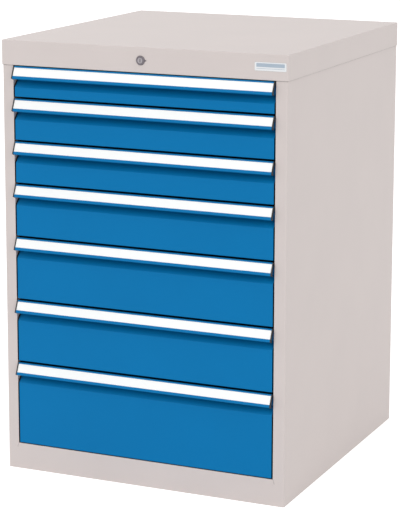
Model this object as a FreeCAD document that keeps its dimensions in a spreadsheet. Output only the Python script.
"""Sheet-steel drawer cabinet with seven full-extension drawers and central locking.

X runs to the right, Y to the back and Z up. Every sub-part is drawn from the housing's front
plane (Y = 0) and is then moved by one Placement, so that the origin lies on the floor under the
middle of the whole cabinet, grips included.
"""
import FreeCAD
import Part
import Sketcher
import math
import os
import re

Vector = FreeCAD.Vector

# Driving dimensions in millimetres: alias, value and what it measures.
SIZES = {
    # housing
    "width": (705, "over the cover, left to right"),
    "depth": (736, "over the cover, front to back"),
    "tall": (1019, "from the floor to the top of the cover"),
    "cover_sheet": (1.5, "sheet of the top cover"),
    "cover_fit": (0.3, "gap between the cover's skirt and the housing"),
    "cover_round": (3, "rounding of the cover's upright edges"),
    "cover_edge": (2, "rounding of the cover's top edges"),
    "skirt": (57, "height of the cover's skirt"),
    "plinth": (62, "height of the base front"),
    "floor_level": (45, "height of the cabinet floor"),
    "foot_return": (22, "fold at the foot of the base"),
    "wall_sheet": (1.5, "sheet of side walls, base and front rail"),
    "wall_bend": (3, "outside bend of the front corners"),
    "frame_flange": (27.2, "front flange of a side wall"),
    "jamb_return": (22, "fold from the front flange into the housing"),
    "rear_flange": (20, "rear flange of a side wall"),
    "back_sheet": (1, "sheet of the back panel"),
    "post_face": (40, "width of a support post's face"),
    "front_post_set": (30, "support post behind the front plane"),
    "rear_post_set": (24, "rear support post ahead of the tray's back"),
    # drawers, from the top; the lowest takes what is left of the opening
    "front_1": (75, "raster height of drawer 1"),
    "front_2": (100, "raster height of drawer 2"),
    "front_3": (100, "raster height of drawer 3"),
    "front_4": (125, "raster height of drawer 4"),
    "front_5": (150, "raster height of drawer 5"),
    "front_6": (150, "raster height of drawer 6"),
    "front_gap": (4.5, "gap between two drawer fronts"),
    "side_gap": (3.5, "gap between a drawer front and the frame"),
    "front_sheet": (1.2, "sheet of a drawer front"),
    "front_thick": (22, "thickness of a drawer front"),
    "front_bend": (3, "outside bend of a drawer front's folds"),
    "front_return": (14, "fold along the top and foot of a front's rear"),
    "front_end_return": (32, "fold at each end of a front's rear"),
    "recess": (17, "depth of the hand recess under the grip"),
    "recess_low": (52, "where the recess starts, below the drawer's top"),
    "recess_high": (34, "where the recess reaches its depth, below the drawer's top"),
    "tray_sheet": (1.2, "sheet of the drawer bodies"),
    "tray_rise": (8, "drawer floor above the drawer's lower line"),
    "tray_drop": (17, "tray wall's top below the drawer's upper line"),
    "tray_lip": (5, "fold along the top of a tray wall"),
    "rear_space": (108, "between the trays' back and the housing's back"),
    "slot_pitch": (50, "raster of the divider slots"),
    "slot_wide": (2.2, "width of a divider slot"),
    "slot_margin": (12, "tray wall left above and below a divider slot"),
    # grip extrusion
    "grip_lead": (2, "top edge of the grip ahead of the front"),
    "grip_reach": (14.5, "lower edge of the grip ahead of the front"),
    "grip_drop": (27, "height of the grip's slanted leg"),
    "grip_plate": (1.5, "leg of the grip that lies on the drawer front"),
    "grip_wall": (1.4, "wall behind the label groove"),
    "grip_nose": (6.5, "finger lip at the lower edge, front to back"),
    "nose_thick": (2.5, "thickness of the finger lip"),
    "lower_lip": (6, "bar of the grip below the label"),
    "label_window": (20.5, "height of the label that shows"),
    "label_edge": (1, "label behind each of the two bars"),
    "label_cover": (0.8, "bar over the label's edge"),
    "label_thick": (0.7, "thickness of the label strip"),
    "label_play": (0.2, "play of the label strip in its groove"),
    # telescopic slides
    "rail_sheet": (1.5, "sheet of the slide members"),
    "rail_play": (0.5, "running gap between two slide members"),
    "rail_bend": (2.5, "outside bend of the middle slide members"),
    "rail_half": (23, "half the height of a cabinet rail"),
    "rail_hook": (3, "inward hook at a rail's open edge"),
    "rail_mouth": (3, "tray wall to the cabinet rail's hook"),
    "rail_rise": (31, "middle of the slide above the drawer's lower line"),
    "rail_inset": (4.3, "cabinet rail behind the frame's opening edge"),
    "rail_front": (26, "front end of the cabinet and middle rails"),
    "slide_depth": (18, "tray wall to the outside of the cabinet rail"),
    # lock
    "lock_drop": (30, "lock below the top of the cover"),
    "collar_radius": (10.5, "lock collar"),
    "collar_thick": (2, "lock collar"),
    "barrel_radius": (9, "lock barrel"),
    "barrel_long": (24, "end of the lock barrel behind the front plane"),
    "plug_radius": (6.2, "lock plug"),
    "plug_fit": (0.3, "gap round the lock plug"),
    "plug_proud": (0.6, "plug ahead of the collar"),
    "hole_fit": (0.4, "gap round the barrel in the cover and the front rail"),
    "nut_thick": (4, "lock nut"),
    "nut_half": (12.5, "lock nut, half the width across its flats"),
    "key_slot_long": (7.5, "key slot"),
    "key_slot_wide": (1.6, "key slot"),
    "key_slot_deep": (6, "key slot"),
    "shaft_radius": (4, "lock shaft"),
    "shaft_fit": (0.3, "gap round the lock shaft in its bearing"),
    "crank": (10, "radius of the crank pin"),
    "crank_thick": (3, "crank arm"),
    "crank_half": (4.5, "half the width of the crank arm"),
    "crank_gap": (1, "crank arm ahead of the locking bar"),
    "pin_radius": (2.5, "crank pin"),
    "fork_play": (0.6, "crank pin in the locking bar's fork"),
    "bar_wide": (30, "locking bar"),
    "bar_thick": (3, "locking bar"),
    "bar_play": (0.4, "gap round the locking bar in its guides"),
    "bar_beside": (1.5, "locking bar beside the lock shaft"),
    "bar_foot": (20, "locking bar's lower end above the cabinet floor"),
    "bar_over": (12, "locking bar above the fork"),
    "guide_depth": (32, "guide channel on the back panel"),
    "guide_half": (45, "half the width of the guide channel"),
    "guide_foot": (40, "guide channel's lower end above the cabinet floor"),
    "guide_head": (20, "guide channel's upper end below the cover's sheet"),
    "clip_lip": (4, "guide clip over the locking bar's edge"),
    "clip_tall": (20, "height of a guide clip"),
    "clip_low": (90, "lowest guide clip above the cabinet floor"),
    "clip_span": (700, "between the lowest and the highest guide clip"),
    "finger_reach": (34, "finger ahead of the locking bar"),
    "finger_wide": (16, "width of a finger and of a catch"),
    "finger_clear": (3, "finger tip below the catch when unlocked"),
    "finger_tall": (15.5, "finger's arm below the catch when unlocked"),
    "catch_level": (34, "lower edge of a catch above the drawer's lower line"),
    "catch_lip": (14, "height of a catch"),
    "catch_gap": (2, "between a finger and its catch when locked"),
}
DRAWERS = range(1, 8)
CLIPS = 3

# Places and sizes that follow from the driving dimensions.
DERIVED = {
    "cover_wall": "cover_sheet + cover_fit",
    "to_origin": "(grip_reach + cover_wall - depth) / 2",
    "body_half": "width / 2 - cover_wall",
    "body_depth": "depth - 2 * cover_wall",
    "inner_half": "body_half - wall_sheet",
    "opening_half": "body_half - frame_flange",
    "opening_top": "tall - skirt",
    "housing_top": "tall - cover_sheet",
    "back_plane": "body_depth - wall_sheet",
    "post_plane": "opening_half - rail_inset",
    "tray_out": "post_plane - slide_depth",
    "tray_in": "tray_out - tray_sheet",
    "tray_back": "body_depth - rear_space",
    "front_half": "opening_half - side_gap",
    "half_gap": "front_gap / 2",
    "grip_slope": "atan((grip_reach - grip_lead) / grip_drop)",
    "grip_long": "sqrt((grip_reach - grip_lead) * (grip_reach - grip_lead) + grip_drop * grip_drop)",
    "groove_low": "lower_lip - label_edge",
    "groove_high": "lower_lip + label_window + label_edge",
    "groove_back": "label_cover + label_thick + label_play",
    "grip_back": "groove_back + grip_wall",
    "step": "rail_sheet + rail_play",
    "lock_level": "tall - lock_drop",
    "guide_plane": "back_plane - back_sheet - guide_depth",
    "bar_front": "guide_plane - bar_play - bar_thick",
    "bar_right": "-(shaft_radius + bar_beside)",
    "bar_left": "bar_right - bar_wide",
    "bar_middle": "bar_right - bar_wide / 2",
    "fork_level": "lock_level - crank * sin(45)",
    "fork_half": "pin_radius + fork_play",
    "finger_front": "bar_front - finger_reach",
    "catch_back": "finger_front + bar_thick + catch_gap + tray_sheet",
}

WORD = re.compile(r"[a-z_][a-z_0-9]*")

doc = FreeCAD.newDocument("DrawerCabinet")
sheet = doc.addObject("Spreadsheet::Sheet", "Sizes")
for line, (alias, (size, meaning)) in enumerate(SIZES.items(), start=1):
    sheet.set(f"A{line}", meaning)
    sheet.set(f"B{line}", str(size))
    sheet.setAlias(f"B{line}", alias)
doc.recompute()


def formula(text):
    """Write an expression in cells of the sheet, with the derived places written out."""

    def cell(word):
        name = word.group()
        if name in DERIVED:
            return f"({formula(DERIVED[name])})"
        return f"Sizes.{name}" if name in SIZES else name

    return WORD.sub(cell, text)


def value(text):
    """The number that an expression gives now."""
    return float(sheet.evalExpression(formula(text)))


def bind(item, path, text):
    item.setExpression(path, formula(text))


def drawer_top(number):
    """Upper line of a drawer's zone in the opening."""
    return " - ".join(["opening_top"] + [f"front_{above}" for above in DRAWERS if above < number])


def drawer_foot(number):
    return "plinth" if number == DRAWERS[-1] else drawer_top(number + 1)


def drawer_tall(number):
    return f"({drawer_top(number)} - ({drawer_foot(number)}))"


def wall_top(number):
    return f"{drawer_tall(number)} - tray_drop"


# Sketches and features


def new_body(label, rise="0"):
    """A body in the housing's frame, raised where it is drawn from a drawer's lower line."""
    body = doc.addObject("PartDesign::Body", label)
    body.Label = label
    body.AllowCompound = True
    bind(body, "Placement.Base.y", "to_origin")
    bind(body, "Placement.Base.z", rise)
    return body


def origin_feature(body, role):
    return next(item for item in body.Origin.OriginFeatures if item.Role == role)


def new_sketch(body, plane, away, at, turn):
    """A sketch on an origin plane, moved along the plane's normal and turned about it."""
    sketch = body.newObject("Sketcher::SketchObject", f"{body.Name}_sketch")
    sketch.AttachmentSupport = [(origin_feature(body, plane), "")]
    sketch.MapMode = "FlatFace"
    sketch.AttachmentOffset = FreeCAD.Placement(
        Vector(0, 0, 0), FreeCAD.Rotation(Vector(0, 0, 1), value(turn))
    )
    bind(sketch, "AttachmentOffset.Base.x", at[0])
    bind(sketch, "AttachmentOffset.Base.y", at[1])
    bind(sketch, "AttachmentOffset.Base.z", away)
    if turn != "0":
        bind(sketch, "AttachmentOffset.Rotation.Angle", turn)
    return sketch


def plan_sketch(body, level="0", at=("0", "0"), turn="0"):
    """Seen from above: X to the right, Y to the back."""
    return new_sketch(body, "XY_Plane", level, at, turn)


def front_sketch(body, behind="0", at=("0", "0"), turn="0"):
    """Seen from the front: X to the right, Z up, at a distance behind the front plane."""
    return new_sketch(body, "XZ_Plane", f"-({behind})", at, turn)


def side_sketch(body, right="0", at=("0", "0"), turn="0"):
    """Seen from the right: Y to the back, Z up."""
    return new_sketch(body, "YZ_Plane", right, at, turn)


def constrain(sketch, rows):
    """Add rows of (kind, constraint arguments, expression or None) in one step."""
    made = [Sketcher.Constraint(kind, *places) for kind, places, _ in rows]
    for index, (_, _, text) in zip(sketch.addConstraint(made), rows):
        if text is not None:
            bind(sketch, f"Constraints[{index}]", text)


def dimension(kind, geometry, end, text):
    """A row that ties one coordinate of a point to an expression."""
    if text == "0":
        axis = {"DistanceX": -2, "DistanceY": -1}[kind]
        return "PointOnObject", (geometry, end, axis), None
    return kind, (-1, 1, geometry, end, value(text)), text


def circle(sketch, across, up, radius):
    ring = sketch.addGeometry(
        Part.Circle(Vector(value(across), value(up), 0), Vector(0, 0, 1), value(radius))
    )
    rows = [dimension("DistanceX", ring, 3, across), dimension("DistanceY", ring, 3, up)]
    constrain(sketch, rows + [("Radius", (ring, value(radius)), radius)])


def bend_arc(sketch, corner, to_last, to_next, bend, edges):
    """Round a corner with a tangent arc; the corner stays as a construction point."""
    half = to_last.getAngle(to_next) / 2
    radius = value(bend)
    centre = corner + (to_last + to_next).normalize() * (radius / math.sin(half))
    spokes = [corner + way * (radius / math.tan(half)) - centre for way in (to_last, to_next)]
    angles = [math.atan2(spoke.y, spoke.x) for spoke in spokes]
    entry, leave = 1, 2
    if to_next.cross(to_last).z < 0:
        entry, leave = leave, entry
        angles.reverse()
    arc = sketch.addGeometry(
        Part.ArcOfCircle(Part.Circle(centre, Vector(0, 0, 1), radius), *angles)
    )
    mark = sketch.addGeometry(Part.Point(corner), True)
    rows = [
        ("Tangent", (edges[0], 2, arc, entry), None),
        ("Tangent", (edges[1], 1, arc, leave), None),
        ("Radius", (arc, radius), bend),
        ("PointOnObject", (mark, 1, edges[0]), None),
        ("PointOnObject", (mark, 1, edges[1]), None),
    ]
    return (mark, 1), rows


def outline(sketch, corners):
    """A closed outline of corners (across, up) or (across, up, bend radius), as expressions.

    Each coordinate is dimensioned once; neighbours that share it are levelled with it.
    """
    points = [Vector(value(corner[0]), value(corner[1]), 0) for corner in corners]
    bends = [corner[2] if len(corner) == 3 else None for corner in corners]
    count = len(corners)
    to_next = [(points[(i + 1) % count] - points[i]).normalize() for i in range(count)]
    to_last = [to_next[i - 1] * -1 for i in range(count)]

    def cut_back(i):
        if bends[i] is None:
            return 0
        return value(bends[i]) / math.tan(to_last[i].getAngle(to_next[i]) / 2)

    edges = []
    for i in range(count):
        after = (i + 1) % count
        start = points[i] + to_next[i] * cut_back(i)
        end = points[after] - to_next[i] * cut_back(after)
        edges.append(sketch.addGeometry(Part.LineSegment(start, end)))

    marks, rows = [], []
    for i in range(count):
        pair = (edges[i - 1], edges[i])
        if bends[i] is None:
            marks.append((pair[1], 1))
            rows.append(("Coincident", (pair[0], 2, pair[1], 1), None))
        else:
            mark, more = bend_arc(sketch, points[i], to_last[i], to_next[i], bends[i], pair)
            marks.append(mark)
            rows += more

    for place, kind, level in ((0, "DistanceX", "Vertical"), (1, "DistanceY", "Horizontal")):
        for i, corner in enumerate(corners):
            if i and corner[place] == corners[i - 1][place]:
                rows.append((level, (*marks[i - 1], *marks[i]), None))
            elif i == count - 1 and corner[place] == corners[0][place]:
                rows.append((level, (*marks[i], *marks[0]), None))
            else:
                rows.append(dimension(kind, *marks[i], corner[place]))
    constrain(sketch, rows)


def mirrored(corners):
    """The same outline on the left of the middle."""
    return [(f"-({across})", *rest) for across, *rest in corners]


def rectangle(low, high):
    """Corners of a rectangle between two opposite corners."""
    return [low, (high[0], low[1]), high, (low[0], high[1])]


def folded(path, thick, side):
    """Outline of a sheet folded square along a path, with the sheet on one side of it.

    A path corner's third value is the outside radius of that fold.
    """
    points = [Vector(value(corner[0]), value(corner[1]), 0) for corner in path]
    runs = [(after - here).normalize() for here, after in zip(points, points[1:])]
    sign = 1 if side == "left" else -1
    normals = [Vector(-run.y, run.x, 0) * sign for run in runs]
    face, other = [], []
    for i, (across, up, *bend) in enumerate(path):
        before, after = normals[max(i - 1, 0)], normals[min(i, len(normals) - 1)]
        shift = before if i in (0, len(path) - 1) else before + after
        moved = []
        for text, amount in ((across, shift.x), (up, shift.y)):
            sign_text = {1: f" + {thick}", -1: f" - {thick}", 0: ""}[round(amount)]
            moved.append(text + sign_text)
        if bend:
            outside, inside = bend, [f"{bend[0]} - {thick}"]
            toward_sheet = runs[i].dot(before) > 0
            face_bend, other_bend = (outside, inside) if toward_sheet else (inside, outside)
        else:
            face_bend, other_bend = [], []
        face.append((across, up, *face_bend))
        other.append((*moved, *other_bend))
    return face + other[::-1]


def pad(body, sketch, length, both_ways=False):
    """Pad a sketch to the right, up or to the back, or evenly to both sides of it."""
    feature = body.newObject("PartDesign::Pad", f"{body.Name}_pad")
    feature.Profile = sketch
    bind(feature, "Length", length)
    feature.Midplane = both_ways
    faces_front = sketch.AttachmentSupport[0][0].Role == "XZ_Plane"
    feature.Reversed = faces_front and not both_ways
    return feature


def pocket(body, sketch, length=None):
    """Cut a sketch from the front backwards to a depth, or right through both ways."""
    feature = body.newObject("PartDesign::Pocket", f"{body.Name}_pocket")
    feature.Profile = sketch
    if length is None:
        feature.Type = "ThroughAll"
        feature.Midplane = True
    else:
        bind(feature, "Length", length)
    return feature


def pattern(body, feature, axis, span, copies):
    row = body.newObject("PartDesign::LinearPattern", f"{body.Name}_pattern")
    row.Originals = [feature]
    row.Direction = (origin_feature(body, axis), [""])
    bind(row, "Length", span)
    row.Occurrences = copies
    body.Tip = row


def shell(body, feature, thick, opens):
    """Hollow a body to its sheet, leaving out the faces that opens picks."""
    doc.recompute()
    faces = [f"Face{i}" for i, face in enumerate(feature.Shape.Faces, start=1) if opens(face)]
    hollow = body.newObject("PartDesign::Thickness", f"{body.Name}_shell")
    hollow.Base = (feature, faces)
    hollow.Reversed = True
    hollow.Join = "Intersection"
    bind(hollow, "Value", thick)
    return hollow


def group(label, members):
    """One node of several solids that are welded or screwed together."""
    compound = doc.addObject("Part::Compound", label)
    compound.Label = label
    compound.Links = members
    return compound


# Housing


def right_side_wall():
    """Wall with front flange, jamb return and rear flange, and its two slide posts."""
    wall = new_body("right_wall_sheet")
    sketch = plan_sketch(wall)
    path = [
        ("opening_half", "jamb_return"),
        ("opening_half", "0"),
        ("body_half", "0", "wall_bend"),
        ("body_half", "body_depth"),
        ("body_half - rear_flange", "body_depth"),
    ]
    outline(sketch, folded(path, "wall_sheet", "left"))
    pad(wall, sketch, "housing_top")
    rear_end = "tray_back - rear_post_set"
    posts = [
        slide_post("right_front_post", "front_post_set", "front_post_set + post_face"),
        slide_post("right_rear_post", f"{rear_end} - post_face", rear_end),
    ]
    return group("right_side_wall", [wall, *posts])


def slide_post(label, front, rear):
    """Channel from the cabinet floor to the top of the opening; its web faces the drawers."""
    post = new_body(label)
    sketch = plan_sketch(post, "floor_level")
    path = [
        ("inner_half", front),
        ("post_plane", front),
        ("post_plane", rear),
        ("inner_half", rear),
    ]
    outline(sketch, folded(path, "wall_sheet", "right"))
    pad(post, sketch, "opening_top - floor_level")
    return post


def left_side_wall(right_wall):
    wall = doc.addObject("Part::Mirroring", "left_side_wall")
    wall.Label = "left_side_wall"
    wall.Source = right_wall
    wall.Normal = Vector(1, 0, 0)
    return wall


def base_pan():
    """Plinth front, cabinet floor and rear foot, folded from one sheet."""
    base = new_body("base_pan")
    sketch = side_sketch(base)
    path = [
        ("foot_return", "0"),
        ("0", "0"),
        ("0", "plinth"),
        ("jamb_return", "plinth"),
        ("jamb_return", "floor_level"),
        ("back_plane", "floor_level"),
        ("back_plane", "0"),
        ("back_plane - foot_return", "0"),
    ]
    outline(sketch, folded(path, "wall_sheet", "right"))
    pad(base, sketch, "2 * inner_half", both_ways=True)
    notches = plan_sketch(base)
    notch = rectangle(("opening_half", "-wall_sheet"), ("body_half", "jamb_return"))
    outline(notches, notch)
    outline(notches, mirrored(notch))
    pocket(base, notches)
    return base


def top_front_rail():
    """Channel across the top of the opening, behind the cover's skirt."""
    rail = new_body("top_front_rail")
    sketch = side_sketch(rail)
    path = [
        ("jamb_return", "housing_top"),
        ("0", "housing_top"),
        ("0", "opening_top"),
        ("jamb_return", "opening_top"),
    ]
    outline(sketch, folded(path, "wall_sheet", "left"))
    pad(rail, sketch, "2 * opening_half", both_ways=True)
    hole = front_sketch(rail)
    circle(hole, "0", "lock_level", "barrel_radius + hole_fit")
    pocket(rail, hole, "2 * wall_sheet")
    return rail


def top_cover():
    """Tray that slips over the housing, open below."""
    cover = new_body("top_cover")
    sketch = plan_sketch(cover, "opening_top")
    corners = rectangle(("-width / 2", "-cover_wall"), ("width / 2", "depth - cover_wall"))
    outline(sketch, [(*corner, "cover_round") for corner in corners])
    block = pad(cover, sketch, "skirt")
    low, top = value("opening_top"), value("tall")
    tray = shell(cover, block, "cover_sheet", lambda face: math.isclose(face.BoundBox.ZMax, low))
    doc.recompute()
    edges = [
        f"Edge{i}"
        for i, edge in enumerate(tray.Shape.Edges, start=1)
        if math.isclose(edge.BoundBox.ZMin, top) and math.isclose(edge.BoundBox.ZMax, top)
    ]
    rounding = cover.newObject("PartDesign::Fillet", "cover_rounding")
    rounding.Base = (tray, edges)
    bind(rounding, "Radius", "cover_edge")
    hole = front_sketch(cover, "-cover_wall - cover_sheet")
    circle(hole, "0", "lock_level", "barrel_radius + hole_fit")
    pocket(cover, hole, "3 * cover_sheet")
    return cover


def back_panel():
    """Rear sheet with the channel and the clips that guide the locking bar."""
    panel = new_body("back_sheet")
    sketch = front_sketch(panel, "back_plane - back_sheet")
    outline(sketch, rectangle(("-inner_half", "floor_level"), ("inner_half", "housing_top")))
    pad(panel, sketch, "back_sheet")

    channel = new_body("guide_channel")
    sketch = plan_sketch(channel, "floor_level + guide_foot")
    path = [
        ("-guide_half", "back_plane - back_sheet"),
        ("-guide_half", "guide_plane"),
        ("guide_half", "guide_plane"),
        ("guide_half", "back_plane - back_sheet"),
    ]
    outline(sketch, folded(path, "wall_sheet", "left"))
    pad(channel, sketch, "housing_top - guide_head - floor_level - guide_foot")
    bearing = front_sketch(channel, "guide_plane")
    circle(bearing, "0", "lock_level", "shaft_radius + shaft_fit")
    pocket(channel, bearing, "2 * wall_sheet")

    clips = new_body("guide_clips")
    sketch = plan_sketch(clips, "floor_level + clip_low")
    front = "bar_front - bar_play - wall_sheet"
    left = [
        ("bar_left + clip_lip", front),
        ("bar_left - bar_play - wall_sheet", front),
        ("bar_left - bar_play - wall_sheet", "guide_plane"),
    ]
    right = [
        ("bar_right - clip_lip", front),
        ("bar_right + bar_play + wall_sheet", front),
        ("bar_right + bar_play + wall_sheet", "guide_plane"),
    ]
    outline(sketch, folded(left, "wall_sheet", "right"))
    outline(sketch, folded(right, "wall_sheet", "left"))
    clip = pad(clips, sketch, "clip_tall")
    pattern(clips, clip, "Z_Axis", "clip_span", CLIPS)
    return group("back_panel", [panel, channel, clips])


# Lock


def lock_housing():
    """Barrel with its collar, and the hexagon nut behind the front rail."""
    barrel = new_body("lock_barrel")
    sketch = side_sketch(barrel, at=("0", "lock_level"))
    bore = "plug_radius + plug_fit"
    front = "-cover_wall - collar_thick"
    corners = [
        (front, bore),
        (front, "collar_radius - collar_thick / 2"),
        (f"{front} + collar_thick / 2", "collar_radius"),
        ("-cover_wall", "collar_radius"),
        ("-cover_wall", "barrel_radius"),
        ("barrel_long", "barrel_radius"),
        ("barrel_long", bore),
    ]
    outline(sketch, corners)
    turning = barrel.newObject("PartDesign::Revolution", "barrel_turning")
    turning.Profile = sketch
    turning.ReferenceAxis = (sketch, ["H_Axis"])
    turning.Angle = 360

    nut = new_body("lock_nut")
    sketch = front_sketch(nut, "wall_sheet", at=("0", "lock_level"))
    reach = "nut_half / cos(30)"
    hexagon = [(f"{reach} * cos({60 * i})", f"{reach} * sin({60 * i})") for i in range(6)]
    outline(sketch, hexagon)
    circle(sketch, "0", "0", "barrel_radius + hole_fit")
    pad(nut, sketch, "nut_thick")
    return group("lock_housing", [barrel, nut])


def lock_plug():
    plug = new_body("lock_plug")
    front = "-(cover_wall + collar_thick + plug_proud)"
    sketch = front_sketch(plug, front)
    circle(sketch, "0", "lock_level", "plug_radius")
    pad(plug, sketch, f"barrel_long - {front}")
    slot = front_sketch(plug, front, at=("0", "lock_level"))
    corner = ("key_slot_wide / 2", "key_slot_long / 2")
    outline(slot, rectangle((f"-{corner[0]}", f"-{corner[1]}"), corner))
    pocket(plug, slot, "key_slot_deep")
    return plug


def lock_shaft():
    """Rod from the plug to its bearing at the back, with a crank arm and pin ahead of the bar."""
    shaft = new_body("lock_shaft")
    rod = front_sketch(shaft, "barrel_long")
    circle(rod, "0", "lock_level", "shaft_radius")
    pad(shaft, rod, "guide_plane + 2 * wall_sheet - barrel_long")
    centre = ("0", "lock_level")
    arm = front_sketch(shaft, "bar_front - crank_gap - crank_thick", at=centre, turn="45")
    corners = rectangle(("-(crank + crank_half)", "-crank_half"), ("crank_half", "crank_half"))
    outline(arm, [(*corner, "crank_half / 2") for corner in corners])
    pad(shaft, arm, "crank_thick")
    pin = front_sketch(shaft, "bar_front - crank_gap - crank_thick", at=centre, turn="45")
    circle(pin, "-crank", "0", "pin_radius")
    pad(shaft, pin, "crank_thick + crank_gap + bar_thick")
    return shaft


def locking_bar():
    """Flat bar with a fork for the crank pin and one upturned finger for each drawer."""
    bar = new_body("locking_bar")
    sketch = front_sketch(bar, "bar_front")
    foot = "floor_level + bar_foot"
    fork_low, fork_high = "fork_level - fork_half", "fork_level + fork_half"
    head = f"{fork_high} + bar_over"
    fork_end = "-(crank + fork_half)"
    corners = [
        ("bar_left", foot),
        ("bar_right", foot),
        ("bar_right", fork_low),
        (fork_end, fork_low),
        (fork_end, fork_high),
        ("bar_right", fork_high),
        ("bar_right", head),
        ("bar_left", head),
    ]
    outline(sketch, corners)
    pad(bar, sketch, "bar_thick")
    fingers = side_sketch(bar, "bar_middle")
    for number in DRAWERS:
        catch = f"{drawer_foot(number)} + catch_level"
        path = [
            ("bar_front", f"{catch} - finger_tall - bar_thick"),
            ("finger_front", f"{catch} - finger_tall - bar_thick"),
            ("finger_front", f"{catch} - finger_clear"),
        ]
        outline(fingers, folded(path, "bar_thick", "right"))
    pad(bar, fingers, "finger_wide", both_ways=True)
    return bar


# Slides: three nested members on each side of a drawer


def rail_pair(label, number, path):
    """A right and a left slide member of one section, from behind the front to the tray's back."""
    rails = new_body(label, drawer_foot(number))
    sketch = front_sketch(rails, "rail_front")
    section = folded(path, "rail_sheet", "right")
    outline(sketch, section)
    outline(sketch, mirrored(section))
    pad(rails, sketch, "tray_back - rail_front")
    return rails


def channel_section(mouth, web, half, *bend):
    """Channel that opens towards the drawer, with its edges hooked inwards."""
    high, low = f"rail_rise + {half}", f"rail_rise - ({half})"
    return [
        (mouth, f"{high} - rail_sheet - rail_hook"),
        (mouth, high),
        (web, high, *bend),
        (web, low, *bend),
        (mouth, low),
        (mouth, f"{low} + rail_sheet + rail_hook"),
    ]


def cabinet_rails(number):
    section = channel_section("tray_out + rail_mouth", "post_plane", "rail_half")
    return rail_pair(f"cabinet_rails_{number}", number, section)


def middle_rails(number):
    section = channel_section(
        "tray_out + rail_mouth + step", "post_plane - step", "rail_half - step", "rail_bend"
    )
    return rail_pair(f"slide_{number}_middle_rails", number, section)


def drawer_rails(number):
    """Hat section on the tray wall; its flanges run behind the middle rail's hooks."""
    flange, web = "post_plane - 2 * step", "tray_out + rail_sheet"
    tip = "rail_half - 2 * step"
    lip = f"{tip} - rail_hook - rail_sheet"
    section = [
        (flange, f"rail_rise + {tip}"),
        (flange, f"rail_rise + {lip}"),
        (web, f"rail_rise + {lip}"),
        (web, f"rail_rise - ({lip})"),
        (flange, f"rail_rise - ({lip})"),
        (flange, f"rail_rise - ({tip})"),
    ]
    return rail_pair(f"drawer_{number}_rails", number, section)


# Drawers, each drawn from its lower line


def drawer_pan(number):
    """Floor with front and back wall, and the catch for the locking bar's finger."""
    pan = new_body(f"drawer_{number}_pan", drawer_foot(number))
    sketch = side_sketch(pan)
    path = [
        ("front_thick", wall_top(number)),
        ("front_thick", "tray_rise"),
        ("tray_back", "tray_rise"),
        ("tray_back", wall_top(number)),
    ]
    outline(sketch, folded(path, "tray_sheet", "left"))
    pad(pan, sketch, "2 * tray_in", both_ways=True)
    catch = side_sketch(pan, "bar_middle")
    catch_top = "catch_level + catch_lip + tray_sheet"
    path = [
        ("tray_back - tray_sheet", catch_top),
        ("catch_back", catch_top),
        ("catch_back", "catch_level"),
    ]
    outline(catch, folded(path, "tray_sheet", "right"))
    pad(pan, catch, "finger_wide", both_ways=True)
    return pan


def drawer_side_walls(number):
    """Two walls with a folded top lip and a row of slots for divider plates."""
    walls = new_body(f"drawer_{number}_side_walls", drawer_foot(number))
    sketch = front_sketch(walls, "front_thick")
    path = [
        ("tray_in", "tray_rise"),
        ("tray_in", wall_top(number)),
        ("tray_out + tray_lip", wall_top(number)),
    ]
    section = folded(path, "tray_sheet", "right")
    outline(sketch, section)
    outline(sketch, mirrored(section))
    pad(walls, sketch, "tray_back - front_thick")
    slot = side_sketch(walls)
    first = "front_thick + slot_pitch"
    low = (f"{first} - slot_wide / 2", "tray_rise + slot_margin")
    high = (f"{first} + slot_wide / 2", f"{wall_top(number)} - slot_margin")
    outline(slot, rectangle(low, high))
    cut = pocket(walls, slot)
    slots = int(value("(tray_back - front_thick) / slot_pitch")) - 1
    pattern(walls, cut, "Y_Axis", f"{slots - 1} * slot_pitch", slots)
    return walls


def drawer_front(number):
    """Folded front with a sloping hand recess; its rear folds lie on the drawer body."""
    front = new_body(f"drawer_{number}_front", drawer_foot(number))
    sketch = side_sketch(front)
    tall = drawer_tall(number)
    top = f"{tall} - half_gap - grip_plate"
    corners = [
        ("0", "half_gap"),
        ("0", f"{tall} - recess_low", "front_bend"),
        ("recess", f"{tall} - recess_high", "front_bend"),
        ("recess", top),
        ("front_thick", top),
        ("front_thick", "half_gap"),
    ]
    outline(sketch, corners)
    block = pad(front, sketch, "2 * front_half", both_ways=True)
    rear = value("front_thick")
    shell(front, block, "front_sheet", lambda face: math.isclose(face.BoundBox.YMin, rear))
    returns = front_sketch(front, "front_thick - front_sheet")
    outline(returns, rectangle(("-front_half", "half_gap"), ("front_half", top)))
    window_low = ("-(front_half - front_end_return)", "half_gap + front_return")
    window_high = ("front_half - front_end_return", f"{top} - front_return")
    outline(returns, rectangle(window_low, window_high))
    pad(front, returns, "front_sheet")
    return front


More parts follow.
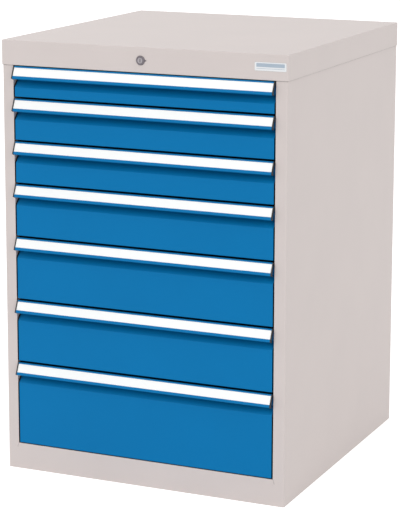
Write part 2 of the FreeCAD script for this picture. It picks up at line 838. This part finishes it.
def drawer_grip(number):
    """Extrusion: a slanted leg with the label groove, a finger lip and a leg on the front."""
    grip = new_body(f"drawer_{number}_grip", drawer_foot(number))
    top = f"{drawer_tall(number)} - half_gap"
    leg = side_sketch(grip, at=("-grip_reach", f"{top} - grip_drop"), turn="-grip_slope")
    corners = [
        ("0", "0"),
        ("0", "lower_lip"),
        ("label_cover", "lower_lip"),
        ("label_cover", "groove_low"),
        ("groove_back", "groove_low"),
        ("groove_back", "groove_high"),
        ("label_cover", "groove_high"),
        ("label_cover", "groove_high - label_edge"),
        ("0", "groove_high - label_edge"),
        ("0", "grip_long"),
        ("grip_back", "grip_long"),
        ("grip_back", "nose_thick"),
        ("grip_nose", "nose_thick"),
        ("grip_nose", "0"),
    ]
    outline(leg, corners)
    pad(grip, leg, "2 * front_half", both_ways=True)
    plate = side_sketch(grip)
    outline(plate, rectangle(("-grip_lead", f"{top} - grip_plate"), ("front_thick", top)))
    pad(grip, plate, "2 * front_half", both_ways=True)
    return grip


def label_strip(number):
    """Strip in the grip's groove, against the back of the two bars."""
    strip = new_body(f"drawer_{number}_label_strip", drawer_foot(number))
    top = f"{drawer_tall(number)} - half_gap"
    sketch = side_sketch(strip, at=("-grip_reach", f"{top} - grip_drop"), turn="-grip_slope")
    low = ("label_cover", "groove_low + label_play")
    high = ("label_cover + label_thick", "groove_high - label_play")
    outline(sketch, rectangle(low, high))
    pad(strip, sketch, "2 * front_half", both_ways=True)
    return strip


def check_document():
    """Stop if anything failed to build, a sketch is loose or a cut removed nothing."""
    for item in doc.Objects:
        if {"Invalid", "Error"} & set(item.State):
            raise RuntimeError(f"{item.Label}: {item.State}")
        if item.isDerivedFrom("Sketcher::SketchObject") and not item.FullyConstrained:
            raise RuntimeError(f"{item.Label} is not fully constrained")
        if item.isDerivedFrom("PartDesign::Pocket"):
            if item.BaseFeature.Shape.Volume - item.Shape.Volume < 1:
                raise RuntimeError(f"{item.Label} removes nothing")


def write(nodes):
    os.makedirs("parts", exist_ok=True)
    for node in nodes:
        if node.Shape.isNull() or not node.Shape.isValid():
            raise RuntimeError(f"{node.Label} has no valid shape")
        node.Shape.exportStep(os.path.join("parts", f"{node.Label}.step"))


def main():
    right_wall = right_side_wall()
    nodes = [
        right_wall,
        left_side_wall(right_wall),
        base_pan(),
        top_front_rail(),
        top_cover(),
        back_panel(),
        group("cabinet_rails", [cabinet_rails(number) for number in DRAWERS]),
        lock_housing(),
        lock_plug(),
        lock_shaft(),
        locking_bar(),
    ]
    for number in DRAWERS:
        nodes += [
            middle_rails(number),
            drawer_rails(number),
            drawer_pan(number),
            drawer_side_walls(number),
            drawer_front(number),
            drawer_grip(number),
            label_strip(number),
        ]
    doc.recompute()
    check_document()
    write(nodes)


main()
